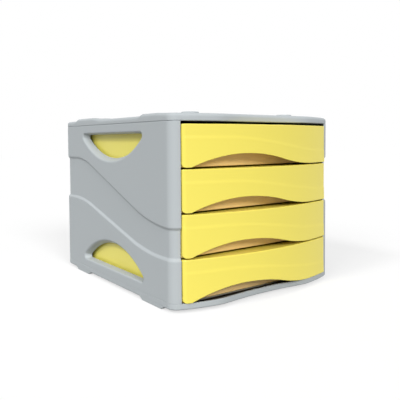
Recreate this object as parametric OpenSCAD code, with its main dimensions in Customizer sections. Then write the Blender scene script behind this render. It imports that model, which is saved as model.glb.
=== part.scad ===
// Desktop cabinet with four shallow drawers, a snap-together set of plastic mouldings.
// Both sides are one and the same wrap-round moulding, one of them turned half round.
// The drawings of the pieces count x from the middle, y backwards from the front corner rounds
// and z upwards from the table. The front of the cabinet faces -Y.

/* [Cabinet] */
// Width over the two side panels
cabinet_w = 290; // [289:1:300]
// Depth from the front corner rounds to the back
cabinet_d = 338; // [330:1:350]
// Height of a side panel, between base and top cover
panel_h = 227.7; // [224:0.1:232]
// Outer radius of the upright corners
corner_r = 15; // [14:0.5:15.5]
// Wall thickness of the grey mouldings
wall = 2.5; // [2.4:0.1:2.7]
// Width of the front opening between the jambs of the side panels
opening_w = 264; // [262:0.5:265]

/* [Bowed front] */
// How far the front has come forward where it leaves the corner round
bow_corner = 1; // [0.6:0.1:1.6]
// Slope of the outer flank of a hump
flank_slope = 0.235; // [0.2:0.005:0.25]
// How far its last stretch falls back towards the corner
flank_fall = 2; // [1.6:0.1:2.4]
// How far the saddle between the two humps stands forward
saddle_rise = 8.2; // [7:0.1:9]
// Slope from the saddle up to a hump
saddle_slope = 0.135; // [0.1:0.005:0.15]
// Half width of the flat of the saddle
saddle_half = 31; // [24:1:38]

/* [Wave band] */
// How deep the band is sunk into a side panel
band_depth = 2.4; // [1.6:0.1:2.4]
// Height over which its edge slopes
band_slope = 4.5; // [3:0.5:6]
// Lower edge of the band at the low end of a panel
lower_edge_low = 55; // [50:1:60]
// Lower edge of the band at the high end
lower_edge_high = 110.6; // [106:0.1:116]
// Upper edge of the band at the low end
upper_edge_low = 93.4; // [90:0.1:98]
// Upper edge of the band at the high end
upper_edge_high = 175.5; // [168:0.1:178]

/* [Hand holes] */
// Distance of a hole's straight side from the nearer end of the panel
hole_margin = 12.4; // [11:0.1:14]
// Distance of the deepest point of its arc from that end
hole_reach = 54.7; // [50:0.1:55]
// Radius of the arc
hole_arc_r = 147.4; // [142:0.1:152]
// Radius of the two end corners
hole_corner_r = 5.2; // [4.5:0.1:5.5]
// Depth of the rim that runs inwards round a hole
rim_depth = 10; // [8:0.5:10]

/* [Top cover and base] */
// Height of the cover's edge at the sides
cover_side_h = 8.5; // [7.5:0.1:9]
// Height of its flat top
cover_top_h = 10; // [9.5:0.1:11]
// Height of the front stacking lug over the cover's lower edge
front_lug_h = 11.2; // [10.8:0.1:12]
// Height of the back stacking lug
back_lug_h = 11.8; // [11:0.1:12.5]
// Height of the round stacking studs over that edge
stack_stud_h = 14.2; // [12:0.1:15]
// Height of the base's rim
base_h = 7.9; // [7.5:0.1:9]
// Height of a foot under the rim
foot_h = 3.6; // [3:0.1:5]
// How far a pad stands out under its foot
pad_proud = 0.5; // [0.4:0.1:1]

/* [Drawers] */
// Clear height between one drawer front and the next
front_gap = 2.1; // [1.8:0.1:2.6]
// How far the bowed fronts stand out in the middle
front_rise = 22.5; // [20:0.5:24]
// How far they stand out at their ends
front_end = 3; // [2:0.5:4]
// Wall thickness of a drawer
drawer_wall = 2.2; // [2:0.1:2.4]
// Rise of the arch that makes the finger pull
arch_rise = 16.6; // [12:0.1:18]
// How far a drawer pulls out before its ears meet the stops
travel = 250; // [200:5:250]

/* [Hidden] */

drawer_count = 4;
grey = "#b4babb";
yellow = "#f0e25e";
pad_grey = "#8b9092";

// heights
seam_z = pad_proud + foot_h + base_h;           // lower edge of the side panels
cover_z = seam_z + panel_h;                     // upper edge of the side panels
first_lift = 0.6;                               // underside of the lowest drawer over that edge
pitch = (panel_h - 3.5 * first_lift) / drawer_count;
slide_gap = 0.35;                               // play between a drawer and what it slides on
front_h = pitch - front_gap;

// front outline
round_steps = 6;
bow_steps = 32;
fall_l = 23;                                    // length of the flank's last stretch
jamb_x = opening_w / 2;
corner_x = cabinet_w / 2 - corner_r;
flank_sec = sqrt(1 + flank_slope * flank_slope);
corner_slope = flank_slope + 2 * flank_fall / fall_l;
corner_sec = sqrt(1 + corner_slope * corner_slope);
corner_tilt = atan(corner_slope);
nose = max([for (p = plan(0)) -p.y]);
front_shift = (cabinet_d - max(nose, front_rise)) / 2;

// side panel
side_steps = 30;
middle_y = cabinet_d / 2;
edge_shift = 0.27 * wall;                       // keeps the wall even where the band's edge slopes
root = (band_depth + wall) / 2;                 // where ribs and ledges start inside the wall
jamb_angle = 270 - asin((jamb_x - corner_x) / corner_r);
// each edge of the band: middle of its ramp, the ramp's slope, radii of the arcs before and after it
lower_ramp = [middle_y - 2, 0.28, 300, 230];
upper_ramp = [middle_y - 10, 0.39, 250, 140];
rim_lip = 1.2;                                  // rounding of a hand hole's edge
rim_wall = 2.2;
rim_draw = 2.2;                                 // how much a rim narrows along its straight side
rim_scoop = 5.5;                                // how much it narrows along its arc
ledge_t = 2.2;
gusset_ys = [30, 56, 282, 306];
gusset_w = 9;

// Stop teeth under the ledges stand in two lanes, the front one in the outer lane and the back one in the
// inner lane. The half turn brings the other panel's back tooth to its front.
lane_w = 3;
outer_lane = jamb_x - 1;                        // outer face of the teeth in the outer lane
inner_lane = outer_lane - lane_w - 1;
ledge_reach = cabinet_w / 2 - inner_lane + lane_w; // measured from the outer face
tooth_l = 6;
tooth_h = 2;

// drawer
front_x = jamb_x - 0.9;                         // clear of the jambs' inner edges
tray_x = jamb_x - 1.1;
tray_front_y = 2;
tray_back_y = cabinet_d - 13;
end_r = 4;                                      // rounding of a front's ends and of its lower corners
rim_play = 1.35;                                // between the tray's rim and the teeth over it
rim_h = pitch - slide_gap - ledge_t - tooth_h - rim_play;
tray_corner_r = 6;
ear_h = 2.7;                                    // height of the ears over the tray's rim
ear_foot = 8;                                   // how far they run down the tray's back wall
ear_l = 7;
ear_play = 0.3;
ear_y = tray_back_y - ear_l;                    // front face of the ears
tooth_y = ear_y - travel - 0.4;                 // back face of the front teeth
arch_left = -121;
arch_top = -42;
arch_right = 89;

// top cover, places given from the outer face and the front
lug_x = 0.7;
lug_w = 8;
stud_x = 57;
stud_y = 43;
stud_r = 12;
stud_edge = 2;

// base and feet, places given from the outer face and the front
floor_t = 2.5;
floor_top = -0.8;                               // of the floor under the lowest drawer
trough_end = tray_front_y + 2;                  // in front of it the floor lies at the base's lower edge
foot_x = 0.6;
foot_w = 8;
feet = [[24, 60], [244, 54]];                   // start and length of each foot on a side
foot_ramp = 6;
pad_w = 5;
pad_l = 36;
pad_t = 1.2;

function smooth_min(a, b, k) = (a + b - sqrt((a - b) * (a - b) + k * k)) / 2;
function smooth_max(a, b, k) = (a + b + sqrt((a - b) * (a - b) + k * k)) / 2;
function arc(c, r, a0, a1, n) = [for (i = [0:n]) let (a = a0 + (a1 - a0) * i / n) c + r * [cos(a), sin(a)]];

// How far the front stands forward at x: two humps with a saddle between them
function flank(x) =
    let (back = max(abs(x) - (jamb_x - 1 - fall_l), 0) / fall_l)
    bow_corner + flank_fall * (1 - back * back) + flank_slope * (jamb_x - 1 - abs(x));
function saddle(x) = smooth_max(saddle_rise + saddle_slope * (abs(x) - saddle_half), saddle_rise, 2);
function bow(x) = smooth_min(flank(x), saddle(x), 4);
function bow_xs(half) = [for (i = [0:bow_steps]) half * (2 * i / bow_steps - 1)];

// Outline of cover and base, drawn in by inset
function plan(inset) =
    let (
        r = max(corner_r - inset, 2),
        cx = cabinet_w / 2 - inset - r,
        front_y = inset * flank_sec + r * corner_sec - bow(cx),
        back_y = cabinet_d - inset - r,
        end_x = cx + r * sin(corner_tilt),
        xs = bow_xs(end_x)
    )
    concat(
        arc([-cx, front_y], r, 180, 270 - corner_tilt, round_steps),
        [for (i = [1:bow_steps - 1]) [xs[i], inset * flank_sec - bow(xs[i])]],
        arc([cx, front_y], r, 270 + corner_tilt, 360, round_steps),
        arc([cx, back_y], r, 0, 90, round_steps),
        arc([-cx, back_y], r, 90, 180, round_steps)
    );

// A closed skin over rings of equally many points. Where a ring is the section of a sheet, its first half
// running along one face and its second half back along the other, strips from half to half close the ends.
module loft(rings, sheet = false) {
    n = len(rings[0]);
    last = len(rings) - 1;
    strips = [for (j = [0:n / 2 - 2]) each [[j, j + 1, n - 2 - j], [j, n - 2 - j, n - 1 - j]]];
    walls = [
        for (i = [0:last - 1], j = [0:n - 1])
            let (a = i * n + j, b = i * n + (j + 1) % n)
            each [[a, a + n, b + n], [a, b + n, b]]
    ];
    start = sheet ? strips : [[for (j = [0:n - 1]) j]];
    finish = [for (face = start) [for (j = [len(face) - 1:-1:0]) last * n + face[j]]];
    polyhedron(points = [for (ring = rings) each ring], faces = concat(start, walls, finish));
}

module in_frame() translate([0, -front_shift, 0]) children();
module both_sides() {
    children();
    mirror([1, 0, 0]) children();
}
module at_back() translate([0, cabinet_d, 0]) mirror([0, 1, 0]) children();
module front_and_back() {
    children();
    at_back() children();
}
module half_turn() translate([0, cabinet_d, 0]) rotate(180) children();

// ---- side panels ----

// An edge of the band: level, arc, straight ramp, arc, level
function wave(y, low, high, middle, slope, r_low, r_high) =
    let (
        tilt = atan(slope),
        run = (high - low) / 2 / slope,
        start = middle - run - r_low * tan(tilt / 2),
        end = middle + run + r_high * tan(tilt / 2)
    )
    y < start ? low
    : y > end ? high
    : y < start + r_low * sin(tilt) ? low + r_low - sqrt(r_low * r_low - (y - start) * (y - start))
    : y > end - r_high * sin(tilt) ? high - r_high + sqrt(r_high * r_high - (end - y) * (end - y))
    : (low + high) / 2 + slope * (y - middle);
function band_edge(y, low, high, ramp) = wave(y, low, high, ramp[0], ramp[1], ramp[2], ramp[3]);
function lower_edge(y) = band_edge(y, lower_edge_low, lower_edge_high, lower_ramp);
function upper_edge(y) = band_edge(y, upper_edge_low, upper_edge_high, upper_ramp);

// The path of the left panel from the front jamb round to the back jamb: centre and angle
function panel_path() =
    let (side_l = cabinet_d - 2 * corner_r)
    concat(
        [for (i = [0:round_steps]) [-corner_x, corner_r, jamb_angle + (180 - jamb_angle) * i / round_steps]],
        [for (i = [1:side_steps - 1]) [-corner_x, corner_r + side_l * i / side_steps, 180]],
        [
            for (i = [0:round_steps])
                [-corner_x, cabinet_d - corner_r, 180 + (180 - jamb_angle) * i / round_steps]
        ]
    );
function panel_section(low, high) =
    let (h = band_slope / 2, e = h + edge_shift, g = h - edge_shift, deep = wall + band_depth)
    [
        [0, 0], [0, low - h], [band_depth, low + h], [band_depth, high - h], [0, high + h], [0, panel_h],
        [wall, panel_h], [wall, high + e], [deep, high - g], [deep, low + g], [wall, low - e], [wall, 0],
    ];
module panel_wall() {
    loft([
        for (s = panel_path())
            [
                for (q = panel_section(lower_edge(s.y), upper_edge(s.y)))
                    [s.x + (corner_r - q.x) * cos(s.z), s.y + (corner_r - q.x) * sin(s.z), q.y]
            ]
    ], sheet = true);
}

// Outline of a hand hole, drawn in by a at its straight side and by b at its arc
function hole_outline(a, b) =
    let (
        below = hole_arc_r - hole_reach,
        r = hole_corner_r - a,
        v = hole_margin + hole_corner_r,
        reach = hole_arc_r - b - r,
        u = sqrt(reach * reach - (below + v) * (below + v)),
        turn = atan2(below + v, u),
        top = arc([0, -below], hole_arc_r - b, turn, 180 - turn, 18)
    )
    concat(
        arc([u, v], r, -90, turn, round_steps),
        [for (i = [1:17]) top[i]],
        arc([-u, v], r, 180 - turn, 270, round_steps)
    );
// Rings of a hole: depth under the outer face, inset at the straight side, inset at the arc
hole_rings = [
    [-1, -2, -2], [0, -rim_lip, -rim_lip], [rim_lip, 0, 0], [rim_depth, rim_draw, rim_scoop],
    [rim_depth + 1, rim_draw + 0.2, rim_scoop + 0.6],
];
rim_rings = [[0.6, -rim_wall, -rim_wall], [rim_depth, rim_draw - rim_wall, rim_scoop - rim_wall]];
module hole_loft(rings) {
    loft([
        for (s = rings)
            [for (q = hole_outline(s.y, s.z)) [s.x - cabinet_w / 2, middle_y + q.x, q.y]]
    ]);
}
module top_and_bottom() {
    children();
    translate([0, 0, panel_h]) mirror([0, 0, 1]) children();
}

module ledge(z) {
    x = root - cabinet_w / 2;
    translate([x, corner_r + 1, z - ledge_t])
        cube([ledge_reach - root, cabinet_d - 2 * corner_r - 4, ledge_t]);
    for (tooth = [[-outer_lane, tooth_y - tooth_l], [-inner_lane, cabinet_d - tooth_y]])
        translate([tooth.x, tooth.y, z - ledge_t - tooth_h]) cube([lane_w, tooth_l, tooth_h + 1]);
    for (y = gusset_ys)
        translate([x, y + 1, z - ledge_t])
            rotate([90, 0, 0])
                linear_extrude(2) polygon([[0, 0.5], [gusset_w, 0.5], [0, -gusset_w]]);
}
module panel_shape() {
    difference() {
        union() {
            panel_wall();
            top_and_bottom() hole_loft(rim_rings);
            for (i = [1:drawer_count]) ledge(first_lift + i * pitch - slide_gap);
        }
        top_and_bottom() hole_loft(hole_rings);
    }
}
module left_side_panel() color(grey) in_frame() translate([0, 0, seam_z]) panel_shape();
module right_side_panel() color(grey) in_frame() half_turn() translate([0, 0, seam_z]) panel_shape();

// ---- top cover ----

function cover_edge_h(x) = cover_top_h - (cover_top_h - cover_side_h) * pow(abs(x) / (cabinet_w / 2), 3);
// Rings of the cover: inset, fall below the edge's height, share of the way to the flat top's height
cover_rings = [[0, 4.5, 0], [0.4, 2.8, 0], [1.3, 1.3, 0], [2.8, 0.4, 0], [4.5, 0, 0], [20, 0, 1]];
function cover_ring(inset, fall, share, less) =
    [
        for (p = plan(inset + less))
            let (edge = cover_edge_h(p.x))
            [p.x, p.y, edge + (cover_top_h - edge) * share - fall - less]
    ];
module cover_skin(less, from) {
    loft(concat(
        [[for (p = plan(less)) [p.x, p.y, from]]],
        [for (s = cover_rings) cover_ring(s.x, s.y, s.z, less)]
    ));
}
// Two lugs on the left edge: the front one runs round the corner, both end in a steep ramp at the back
front_lug = [[-5, 9.9], [12, 10], [42, front_lug_h], [75, front_lug_h], [85, 8]];
back_lug = [[190, 8.4], [236, back_lug_h], [284, back_lug_h], [298, 8]];
module stack_lug(edge) {
    intersection() {
        translate([lug_x - cabinet_w / 2, 0, 0]) rotate([90, 0, 90]) linear_extrude(lug_w)
            polygon(concat([[edge[0].x, 7]], edge, [[edge[len(edge) - 1].x, 7]]));
        linear_extrude(stack_stud_h) polygon(plan(lug_x));
    }
}
module stack_stud() {
    rise = stack_stud_h - cover_top_h + 1.5;
    translate([stud_x - cabinet_w / 2, stud_y, cover_top_h - 1.5])
        rotate_extrude($fn = 48)
            polygon(concat(
                [[0, 0], [stud_r, 0]],
                arc([stud_r - stud_edge, rise - stud_edge], stud_edge, 0, 90, 4),
                [[0, rise]]
            ));
}
module top_cover() {
    rib_x = cabinet_w / 2 - ledge_reach - 0.2;
    rib_drop = 3.7;
    color(grey) in_frame() translate([0, 0, cover_z]) {
        difference() {
            cover_skin(0, 0);
            cover_skin(wall, -1);
        }
        for (edge = [front_lug, back_lug]) {
            stack_lug(edge);
            half_turn() stack_lug(edge);
        }
        both_sides() front_and_back() stack_stud();
        // inner ribs that drop between the top ledges of the two side panels
        both_sides() translate([rib_x - 2, 24, -rib_drop])
            cube([2, cabinet_d - 60, cover_top_h - wall + rib_drop + 0.5]);
    }
}

// ---- base ----

module foot(place) {
    l = place[1];
    translate([foot_x - cabinet_w / 2, place[0], -base_h])
        rotate([90, 0, 90])
            linear_extrude(foot_w)
                polygon([
                    [0, base_h - 1], [0, 0], [foot_ramp, -foot_h], [l - foot_ramp, -foot_h],
                    [l, 0], [l, base_h - 1],
                ]);
}
module pad_shape(place, grow) {
    w = pad_w + 2 * grow;
    translate([foot_x + foot_w / 2 - cabinet_w / 2, place[0] + place[1] / 2]) {
        square([w, pad_l - pad_w], center = true);
        for (s = [-1, 1]) translate([0, s * (pad_l - pad_w) / 2]) circle(d = w, $fn = 32);
    }
}
// Part of the plan in front of the line where the tray starts, or behind it
module plan_part(inset, front) {
    intersection() {
        polygon(plan(inset));
        translate([-cabinet_w / 2, front ? trough_end - cabinet_d : trough_end - 2])
            square([cabinet_w, cabinet_d]);
    }
}
module base() {
    rim_rounding = [[1.6, 0], [0.5, 0.6], [0, 1.8], [0, base_h]];
    cross_ribs = [feet[0][0] + feet[0][1], middle_y, feet[1][0]];
    color(grey) in_frame() translate([0, 0, seam_z]) difference() {
        union() {
            difference() {
                loft([for (s = rim_rounding) [for (p = plan(s.x)) [p.x, p.y, s.y - base_h]]]);
                translate([0, 0, -base_h - 1]) linear_extrude(base_h + 2) polygon(plan(wall + 0.6));
            }
            // floor under the trays, and the trough in front of them
            translate([0, 0, floor_top - floor_t]) linear_extrude(floor_t) plan_part(wall, false);
            translate([0, 0, -base_h]) linear_extrude(2) plan_part(wall, true);
            translate([0, 0, -base_h]) linear_extrude(base_h - 1) intersection() {
                plan_part(wall, true);
                plan_part(wall, false);
            }
            both_sides() for (place = feet) foot(place);
            // rails that carry the lowest drawer
            both_sides() translate([tray_x - 4, corner_r + 1, floor_top - 0.5])
                cube([4, cabinet_d - 2 * corner_r - 4, first_lift - slide_gap - floor_top + 0.5]);
            // stiffening ribs under the floor
            for (x = [-90, -30, 30, 90])
                translate([x - 1, trough_end - 1, -base_h + 1])
                    cube([2, cabinet_d - trough_end - 1, base_h - 2]);
            for (y = cross_ribs)
                translate([2 - cabinet_w / 2, y - 1, -base_h + 1]) cube([cabinet_w - 4, 2, base_h - 2]);
            // tabs that locate the side panels
            both_sides() for (y = [40, middle_y, cabinet_d - 40])
                translate([wall + 0.1 - cabinet_w / 2, y - 15, floor_top - 1]) cube([2, 30, 7]);
        }
        both_sides() for (place = feet)
            translate([0, 0, -base_h - foot_h - 1])
                linear_extrude(1 + pad_t - pad_proud) pad_shape(place, 0.1);
    }
}
module pad(place) color(pad_grey) in_frame() linear_extrude(pad_t) pad_shape(place, 0);
module pad_front_left() pad(feet[0]);
module pad_front_right() mirror([1, 0, 0]) pad(feet[0]);
module pad_back_left() pad(feet[1]);
module pad_back_right() mirror([1, 0, 0]) pad(feet[1]);

// ---- back panel ----

module back_panel() {
    t = 2.4;
    face_x = jamb_x - 1;
    lip_x = face_x + 4;
    outer = cabinet_d - 0.2;
    lip_y = cabinet_d - 9;
    half = [
        [face_x, outer], [face_x, lip_y + t], [lip_x, lip_y + t], [lip_x, lip_y],
        [face_x - t, lip_y], [face_x - t, outer - t],
    ];
    color(grey) in_frame() translate([0, 0, seam_z + 0.1]) linear_extrude(panel_h - 0.2)
        polygon(concat(half, [for (p = reversed(half)) [-p.x, p.y]]));
}

// ---- drawers ----

// Height of the arch over the drawer's underside: an arc on the left, an S of two arcs on the right
function arch(x) =
    let (
        run = arch_top - arch_left,
        left_r = (run * run + arch_rise * arch_rise) / (2 * arch_rise),
        half_run = (arch_right - arch_top) / 2,
        right_r = (half_run * half_run + arch_rise * arch_rise / 4) / arch_rise,
        d = x - arch_top
    )
    d < 0 ? arch_rise - left_r + sqrt(left_r * left_r - d * d)
    : d < half_run ? arch_rise - right_r + sqrt(right_r * right_r - d * d)
    : right_r - sqrt(right_r * right_r - (arch_right - x) * (arch_right - x));
function reversed(list) = [for (i = [len(list) - 1:-1:0]) list[i]];

// Front face from above: one bow from end to end, with its ends rounded back
function front_bow(x) = front_rise - (front_rise - front_end) * pow(x / jamb_x, 2);
function end_fall(x) =
    let (d = max(abs(x) - front_x + end_r, 0))
    end_r - sqrt(end_r * end_r - d * d);
end_xs = [for (a = [90:-18:18]) front_x - end_r + end_r * sin(a)];
face_xs = concat(-end_xs, bow_xs(front_x - end_r), reversed(end_xs));
face_line = [for (x = face_xs) [x, end_fall(x) - front_bow(x)]];
inner_half = front_x - drawer_wall;
inner_line = [for (x = bow_xs(inner_half)) [x, drawer_wall - front_bow(x)]];
// Front face in elevation, with its lower corners and the arch
face_outline = concat(
    arc([end_r - front_x, end_r], end_r, 180, 270, 5),
    [for (i = [0:24]) let (x = arch_left + (arch_right - arch_left) * i / 24) [x, arch(x)]],
    arc([front_x - end_r, end_r], end_r, 270, 360, 5),
    [[front_x, front_h], [-front_x, front_h]]
);

module drawer_front() {
    root_y = tray_front_y + 1;
    // front wall with the two cheeks that close its ends
    intersection() {
        linear_extrude(front_h) polygon(concat(
            face_line, [[front_x, root_y], [inner_half, root_y]],
            reversed(inner_line), [[-inner_half, root_y], [-front_x, root_y]]
        ));
        translate([0, root_y + 1, 0]) rotate([90, 0, 0]) linear_extrude(40) polygon(face_outline);
    }
    // web that joins front and tray along the top
    translate([0, 0, front_h - drawer_wall]) linear_extrude(drawer_wall)
        polygon(concat(face_line, [[front_x, root_y], [-front_x, root_y]]));
}
module tray_plan(inset) {
    r = tray_corner_r;
    hull() {
        translate([inset - tray_x, tray_front_y + inset]) square([2 * (tray_x - inset), 10]);
        for (s = [-1, 1])
            translate([s * (tray_x - r), tray_back_y - r]) circle(r - inset, $fn = 32);
    }
}
// One ear for each side, in the lane of the teeth that it has to meet
module ear_plan() {
    intersection() {
        tray_plan(0);
        translate([-tray_x, ear_y]) square([tray_x - outer_lane + lane_w - ear_play, ear_l]);
    }
    translate([inner_lane - lane_w + ear_play, ear_y]) square([lane_w - 2 * ear_play, ear_l]);
}
module drawer(number) {
    color(yellow) in_frame() translate([0, 0, seam_z + first_lift + (drawer_count - number) * pitch]) {
        drawer_front();
        difference() {
            linear_extrude(rim_h) tray_plan(0);
            translate([0, 0, drawer_wall]) linear_extrude(rim_h) tray_plan(drawer_wall);
        }
        translate([-tray_x, tray_front_y, 0]) cube([2 * tray_x, drawer_wall, front_h]);
        translate([0, 0, rim_h - ear_foot]) linear_extrude(ear_h + ear_foot) ear_plan();
    }
}
module drawer_1() drawer(1);
module drawer_2() drawer(2);
module drawer_3() drawer(3);
module drawer_4() drawer(4);

left_side_panel();
right_side_panel();
top_cover();
base();
back_panel();
drawer_1();
drawer_2();
drawer_3();
drawer_4();
pad_front_left();
pad_front_right();
pad_back_left();
pad_back_right();
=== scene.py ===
"""Looks of a grey desktop cabinet with four yellow drawers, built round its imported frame.

Lengths in the mesh functions are millimetres, counted as in the part's source: x from the middle,
y backwards from the front corner rounds, z upwards from the table. Meshes are stored in metres in the frame.
"""
import math

import bmesh
import bpy
from bpy.props import FloatProperty, FloatVectorProperty, PointerProperty
from mathutils import Matrix, Vector
from mathutils.geometry import tessellate_polygon


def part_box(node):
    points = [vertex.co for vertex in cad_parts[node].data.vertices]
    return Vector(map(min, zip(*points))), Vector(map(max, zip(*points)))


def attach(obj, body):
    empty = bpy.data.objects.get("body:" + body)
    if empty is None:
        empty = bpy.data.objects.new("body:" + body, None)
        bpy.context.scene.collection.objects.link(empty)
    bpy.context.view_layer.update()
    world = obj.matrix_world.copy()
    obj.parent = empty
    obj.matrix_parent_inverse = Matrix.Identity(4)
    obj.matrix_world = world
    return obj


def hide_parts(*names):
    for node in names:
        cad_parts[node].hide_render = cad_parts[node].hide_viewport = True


bl_info = {
    "name": "Desktop mini drawers",
    "version": (1, 0, 0),
    "blender": (4, 5, 0),
    "location": "View3D > Sidebar > Drawers",
    "description": "Builds the mouldings of a stackable desktop drawer cabinet round its frame",
    "category": "Object",
}

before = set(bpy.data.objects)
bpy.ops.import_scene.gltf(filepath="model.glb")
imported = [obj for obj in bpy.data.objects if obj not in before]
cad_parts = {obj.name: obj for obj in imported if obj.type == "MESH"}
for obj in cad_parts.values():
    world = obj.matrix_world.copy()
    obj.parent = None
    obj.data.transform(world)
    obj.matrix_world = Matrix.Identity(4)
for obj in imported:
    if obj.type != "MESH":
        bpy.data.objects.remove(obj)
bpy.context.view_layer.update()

MM = 0.001
BODY = "cabinet"
DRAWERS = (1, 2, 3, 4)
CRISP_ANGLE = 40.0

# the frame's own sizes, in millimetres
PANEL_LOW, PANEL_HIGH = (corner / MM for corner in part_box("left_side_panel"))
BASE_LOW, BASE_HIGH = (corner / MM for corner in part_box("base"))
SEAM_Z = PANEL_LOW.z
PANEL_H = PANEL_HIGH.z - PANEL_LOW.z
HALF_W = BASE_HIGH.x
DEPTH = 338.0
FRONT_Y = BASE_HIGH.y - DEPTH
MIDDLE_Y = DEPTH / 2
JAMB_X = 132.0
NOSE = FRONT_Y - BASE_LOW.y
FOOT_H = 3.6
DRAWER_LOW, DRAWER_HIGH = (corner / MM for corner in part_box("drawer_4"))
FRONT_X = DRAWER_HIGH.x
FRONT_H = DRAWER_HIGH.z - DRAWER_LOW.z
LIFT = DRAWER_LOW.z - SEAM_Z
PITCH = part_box("drawer_3")[0].z / MM - DRAWER_LOW.z
SLIDE_GAP, LEDGE_T, TOOTH_H, RIM_PLAY = 0.35, 2.2, 2.0, 1.35
RIM_H = PITCH - SLIDE_GAP - LEDGE_T - TOOTH_H - RIM_PLAY
TRAY_X = FRONT_X - 0.2
TRAY_FRONT, TRAY_BACK = 2.0, 325.0
LEDGE_FRONT, LEDGE_BACK = 16.0, DEPTH - 18.0
OUTER_LANE, INNER_LANE, LANE_W = 131.0, 127.0, 3.0
EAR_L, EAR_FOOT, EAR_H = 7.0, 8.0, 2.7

# the stage: name, azimuth, elevation, strength and angle of each lamp
LAMPS = (("front_lamp", 10, 30, 0.60, 20), ("side_lamp", 85, 45, 0.32, 10), ("left_lamp", 68, 33.4, 0.28, 20))
SURROUNDINGS = 0.27
FLOOR_GLOW = 0.66
FLOOR_REACH = 6000.0


def mm(length):
    return length / MM


# ---------------------------------------------------------------- sizes and colours


class CabinetSizes(bpy.types.PropertyGroup):
    corner_radius: FloatProperty(
        name="Corner radius", description="Radius of the upright corners", default=0.015, unit="LENGTH")
    wall: FloatProperty(
        name="Wall", description="Wall thickness of the grey mouldings", default=0.0025, unit="LENGTH")
    band_depth: FloatProperty(
        name="Band depth", description="How deep the wave band is sunk", default=0.0024, unit="LENGTH")
    band_slope: FloatProperty(
        name="Band slope", description="Height over which the band's edge slopes",
        default=0.0050, unit="LENGTH")
    lip: FloatProperty(
        name="Lip", description="Width of the rounded lip of a hand hole", default=0.0024, unit="LENGTH")
    cover_round: FloatProperty(
        name="Cover rounding", description="Rounding of the cover's upper edge",
        default=0.0045, unit="LENGTH")
    base_round: FloatProperty(
        name="Base rounding", description="Rounding of the base's lower edge", default=0.0022, unit="LENGTH")


class DrawerSizes(bpy.types.PropertyGroup):
    wall: FloatProperty(
        name="Wall", description="Wall thickness of a drawer", default=0.0022, unit="LENGTH")
    arch_rise: FloatProperty(
        name="Arch", description="Rise of the finger pull's arch", default=0.0166, unit="LENGTH")
    crease_step: FloatProperty(
        name="Crease", description="How far the front stands out below its crease",
        default=0.0004, unit="LENGTH")
    crease_flare: FloatProperty(
        name="Flare", description="How much further it stands out at its foot", default=0.0006, unit="LENGTH")
    end_round: FloatProperty(
        name="End rounding", description="Rounding of a front's ends and lower corners",
        default=0.0040, unit="LENGTH")


class CabinetColours(bpy.types.PropertyGroup):
    grey: FloatVectorProperty(
        name="Grey", description="Plastic of the housing", default=(0.53, 0.56, 0.58), subtype="COLOR")
    yellow: FloatVectorProperty(
        name="Yellow", description="Plastic of the drawers", default=(0.93, 0.83, 0.16), subtype="COLOR")
    # painted shade: a warm orange-brown that stands in for the shadow and yellow bounce light on the trays'
    # front walls behind the finger pulls; the walls themselves are the drawers' yellow
    recess_painted_shade: FloatVectorProperty(
        name="Recess", description="Tone of the trays' front walls behind the finger pulls",
        default=(1.0, 0.70, 0.30), subtype="COLOR")
    # painted shade: near black that stands in for the deep shadow in the base's trough under the lowest
    # drawer; the trough itself is the housing's grey
    trough: FloatVectorProperty(
        name="Trough", description="Tone of the base's deep trough before the lowest tray",
        default=(0.10, 0.08, 0.06), subtype="COLOR")
    pad: FloatVectorProperty(
        name="Pads", description="Rubber under the feet", default=(0.25, 0.27, 0.28), subtype="COLOR")
    floor: FloatVectorProperty(
        name="Floor", description="Floor of the stage", default=(0.36, 0.36, 0.36), subtype="COLOR")


# ---------------------------------------------------------------- materials


class Value:
    """A socket of a material's tree. Sums and products of it add the Math nodes."""

    def __init__(self, tree, socket):
        self.tree = tree
        self.socket = socket

    def _math(self, operation, a, b):
        return self.tree.node("ShaderNodeMath", {"operation": operation}, {0: a, 1: b})

    def __add__(self, other):
        return self._math("ADD", self, other)

    def __radd__(self, other):
        return self._math("ADD", other, self)

    def __sub__(self, other):
        return self._math("SUBTRACT", self, other)

    def __rsub__(self, other):
        return self._math("SUBTRACT", other, self)

    def __mul__(self, other):
        return self._math("MULTIPLY", self, other)

    def __rmul__(self, other):
        return self._math("MULTIPLY", other, self)


class Finish:
    """A material and its tree of nodes."""

    def __init__(self, name):
        self.material = bpy.data.materials.new(name)
        self.material.use_nodes = True
        self.nodes = self.material.node_tree.nodes
        self.links = self.material.node_tree.links
        self.shader = self.nodes["Principled BSDF"]

    def node(self, kind, settings=None, values=None, output=0):
        """Adds a node, applies its settings, fills its inputs and gives back one of its outputs."""
        made = self.nodes.new(kind)
        for key, value in (settings or {}).items():
            setattr(made, key, value)
        for key, value in (values or {}).items():
            self.set(made.inputs[key], value)
        return Value(self, made.outputs[output])

    def set(self, socket, value):
        if isinstance(value, Value):
            self.links.new(value.socket, socket)
        else:
            socket.default_value = value

    def finish(self, **inputs):
        """Sets the shader's inputs, with spaces written as underscores."""
        for key, value in inputs.items():
            self.set(self.shader.inputs[key.replace("_", " ")], value)
        return self.material


    def place(self):
        """The place on the piece, in its own coordinates."""
        return self.node("ShaderNodeTexCoord", output=3)

    def noise(self, place, scale, detail, **inputs):
        values = {"Vector": place, "Scale": scale, "Detail": detail, **inputs}
        return self.node("ShaderNodeTexNoise", {}, values)

    def blend(self, factor, start, end):
        """A colour between two others."""
        return self.node("ShaderNodeMix", {"data_type": "RGBA"}, {0: factor, 6: start, 7: end}, output=2)

    def bump(self, height, strength=1.0):
        return self.node("ShaderNodeBump", {}, {"Strength": strength, "Distance": 1.0, "Height": height})


def tinted(colour, factor):
    return (*(min(c * factor, 1.0) for c in colour), 1.0)


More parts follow.
